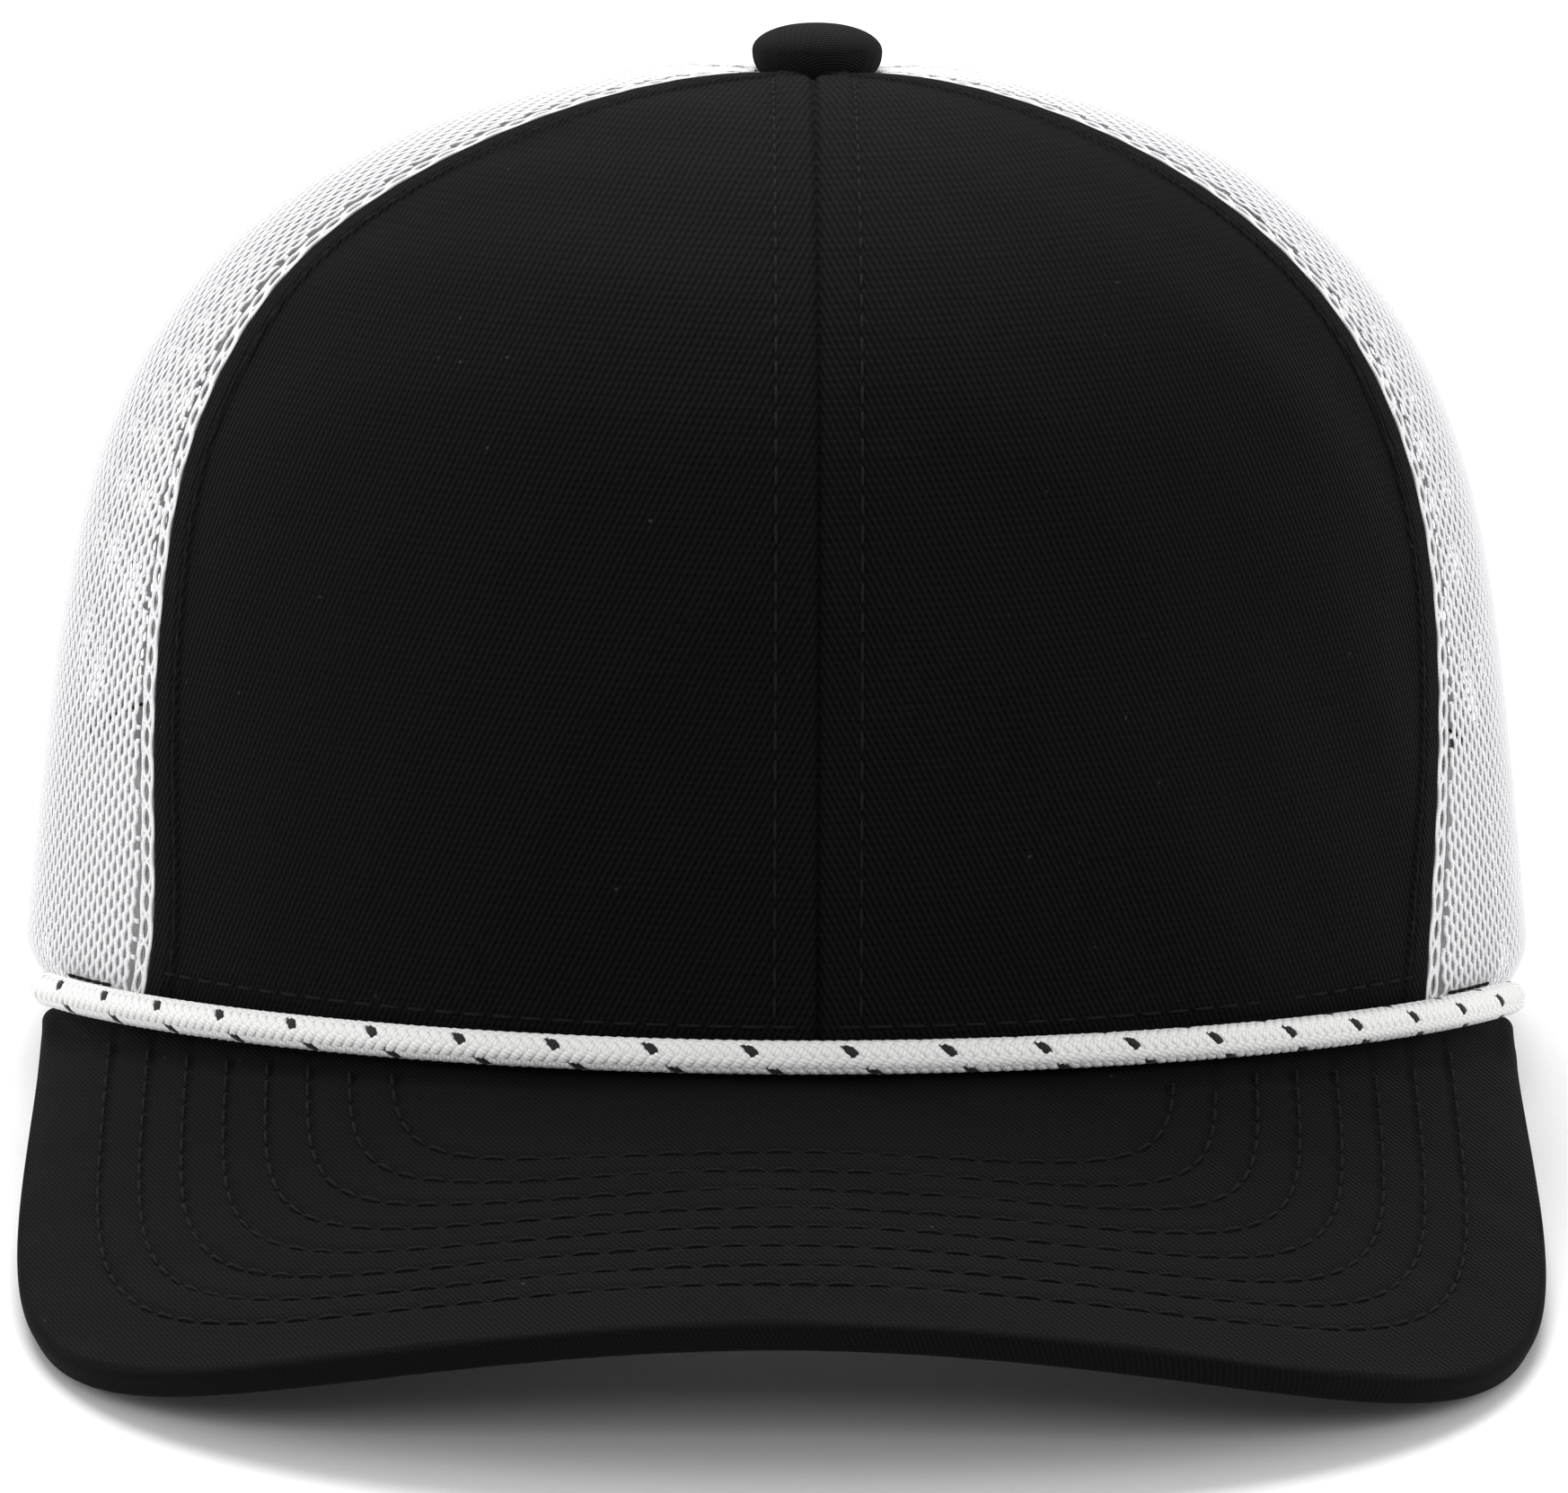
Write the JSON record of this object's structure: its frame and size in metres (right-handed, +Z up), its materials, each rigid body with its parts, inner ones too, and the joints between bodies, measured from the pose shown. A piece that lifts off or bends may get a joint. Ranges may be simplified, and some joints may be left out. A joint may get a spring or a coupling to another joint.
{
  "type": "trucker cap",
  "caption": "Trucker cap with a stiffened twill front, open mesh back, curved visor, a rope across its root and a snap strap.",
  "frame": {"origin": "bottom centre of the cap's bounding box, on the surface that the cap rests on", "axes": "the front of the cap and its visor face -Y, +X is the wearer's left, +Z is up"},
  "size_m": [0.1799, 0.2666, 0.1221],
  "materials": {
    "front_twill": "dense cotton twill, matt",
    "stiffener": "stiff buckram, matt",
    "mesh": "open knitted polyester mesh, matt",
    "tape": "woven cotton tape, matt",
    "sweatband_cloth": "cotton twill sweatband, matt",
    "label": "woven label with no lettering, slightly shiny",
    "button_cloth": "cotton twill stretched over a button, matt",
    "metal": "bare metal",
    "board": "moulded plastic sheet",
    "visor_twill": "dense cotton twill, matt",
    "rope_braid": "round braided cord, matt",
    "thread": "polyester thread",
    "binding_twill": "folded cotton twill binding, matt",
    "strap_plastic": "moulded plastic, satin"
  },
  "bodies": {
    "cap": {"front_panel_left": "front_twill", "front_panel_right": "front_twill", "front_stiffener_left": "stiffener", "front_stiffener_right": "stiffener", "mesh_side_left": "mesh", "mesh_side_right": "mesh", "mesh_rear_left": "mesh", "mesh_rear_right": "mesh", "seam_tape_front": "tape", "seam_tape_side_left": "tape", "seam_tape_side_right": "tape", "seam_tape_rear_left": "tape", "seam_tape_rear_right": "tape", "seam_tape_back": "tape", "sweatband": "sweatband_cloth", "care_label": "label", "button_cover": "button_cloth", "button_shell": "metal", "button_rivet": "metal", "visor_board": "board", "visor_top_cover": "visor_twill", "visor_under_cover": "visor_twill", "visor_edge_seam": "visor_twill", "rope": "rope_braid", "rope_end_tacks": "thread", "opening_binding": "binding_twill", "strap_root_left": "strap_plastic", "strap_root_right": "strap_plastic"},
    "hole_strap_side": {"hole_strap": "strap_plastic"},
    "peg_strap_side": {"peg_strap": "strap_plastic"}
  },
  "joints": [
    {"name": "hole_strap_swing", "type": "hinge", "parent": "cap", "child": "hole_strap_side", "pos_m": [0.03896, 0.12132, 0.01147], "axis": [0, -0.0167, -0.9999], "range_deg": [0, 90], "stiffness_Nm_per_rad": 0.02},
    {"name": "peg_strap_swing", "type": "hinge", "parent": "cap", "child": "peg_strap_side", "pos_m": [-0.03815, 0.11994, 0.0115], "axis": [0, -0.0167, -0.9999], "range_deg": [0, 50], "stiffness_Nm_per_rad": 0.02}
  ]
}
